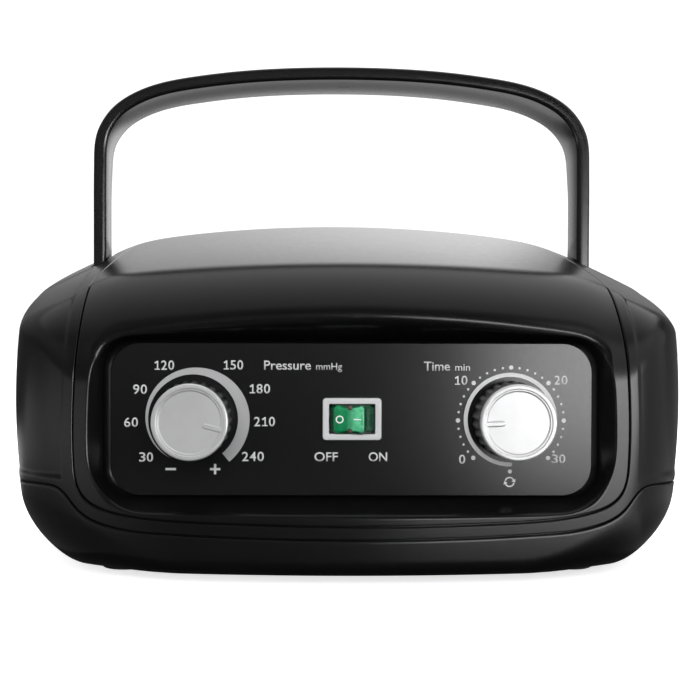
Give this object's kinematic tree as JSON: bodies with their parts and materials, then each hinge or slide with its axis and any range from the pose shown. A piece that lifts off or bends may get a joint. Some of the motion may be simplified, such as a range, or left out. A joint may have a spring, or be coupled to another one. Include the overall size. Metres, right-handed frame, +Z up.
{
  "type": "compression therapy pump",
  "caption": "Table-top air pump for pneumatic compression sleeves, with pressure and timer dials, rocker switch, fold-back handle and hose ports.",
  "frame": {"origin": "middle of the footprint, on the plane of the rubber feet", "axes": "+X to the user's right, +Y from the control panel to the back, +Z up"},
  "size_m": [0.2638, 0.207, 0.2003],
  "materials": {
    "shell_black": "fine satin texture",
    "panel_black": "fine sparkle texture with light grey print",
    "handle_black": "semi gloss",
    "inlet_black": "smooth",
    "brass_contact": "plated",
    "steel": "zinc plated",
    "foot_rubber": "matte",
    "bezel_grey": "satin",
    "rocker_green": "tinted, see-through green",
    "knob_silver": "satin silver",
    "skirt_black": "satin",
    "tech_plastic": "moulded",
    "cast_aluminium": "die cast",
    "copper": "enamelled winding",
    "magnet_steel": "ground",
    "tube_clear": "translucent silicone",
    "wire_grey": "insulation"
  },
  "bodies": {
    "housing": {"upper_housing": "shell_black", "lower_housing": "shell_black", "center_cover": "shell_black", "control_panel": "panel_black", "rear_panel": "shell_black", "power_inlet": "inlet_black", "inlet_pins": "brass_contact", "fuse_holder": "inlet_black", "hose_socket_left": "shell_black", "hose_socket_right": "shell_black", "handle_pivot_pins": "steel", "rubber_feet": "foot_rubber", "housing_screws": "steel", "bush_nuts": "steel", "switch_frame": "bezel_grey", "switch_terminals": "brass_contact", "regulator_body": "tech_plastic", "regulator_spring": "steel", "timer_body": "tech_plastic", "timer_movement": "cast_aluminium", "compressor_housing": "cast_aluminium", "compressor_coils": "copper", "diaphragm_left": "foot_rubber", "diaphragm_right": "foot_rubber", "compressor_head_left": "tech_plastic", "compressor_head_right": "tech_plastic", "compressor_mounts": "foot_rubber", "distributor_body": "tech_plastic", "gear_motor": "cast_aluminium", "hose_port_tubes": "tube_clear", "supply_tube": "tube_clear", "terminal_block": "inlet_black", "wiring": "wire_grey"},
    "carry_handle": {"handle": "handle_black"},
    "pressure_dial": {"pressure_knob": "knob_silver", "pressure_knob_skirt": "skirt_black", "regulator_shaft": "steel"},
    "plunger": {"regulator_plunger": "tech_plastic"},
    "timer_dial": {"timer_knob": "knob_silver", "timer_knob_skirt": "skirt_black", "timer_shaft": "steel"},
    "rocker": {"switch_rocker": "rocker_green"},
    "armature": {"compressor_armature": "magnet_steel"},
    "valve_rotor": {"distributor_rotor": "tech_plastic"}
  },
  "joints": [
    {"name": "handle_fold", "type": "hinge", "parent": "housing", "child": "carry_handle", "pos_m": [0, 0.009, 0.106], "axis": [-1, 0, 0], "range_deg": [0, 55]},
    {"name": "pressure_turn", "type": "hinge", "parent": "housing", "child": "pressure_dial", "pos_m": [-0.057, -0.1, 0.0577], "axis": [0, 1, 0], "range_deg": [-254, 46]},
    {"name": "regulator_travel", "type": "slide", "parent": "housing", "child": "plunger", "axis": [0, 1, 0], "range_m": [-0.0037, 0.0007], "deforming": ["regulator_spring"]},
    {"name": "timer_turn", "type": "hinge", "parent": "housing", "child": "timer_dial", "pos_m": [0.057, -0.1, 0.0577], "axis": [0, 1, 0], "range_deg": [-87, 228]},
    {"name": "power_rocker", "type": "hinge", "parent": "housing", "child": "rocker", "pos_m": [0, -0.086, 0.0579], "axis": [0, 0, 1], "range_deg": [0, 22]},
    {"name": "compressor_stroke", "type": "slide", "parent": "housing", "child": "armature", "axis": [1, 0, 0], "range_m": [-0.0015, 0.0015], "stiffness_N_per_m": 9000},
    {"name": "valve_spin", "type": "hinge", "parent": "housing", "child": "valve_rotor", "pos_m": [-0.084, 0.029, 0.03], "axis": [0, 0, 1], "continuous": true}
  ],
  "couplings": [
    {"joint": "regulator_travel", "follows": "pressure_turn", "m_per_rad": 0.0008}
  ]
}
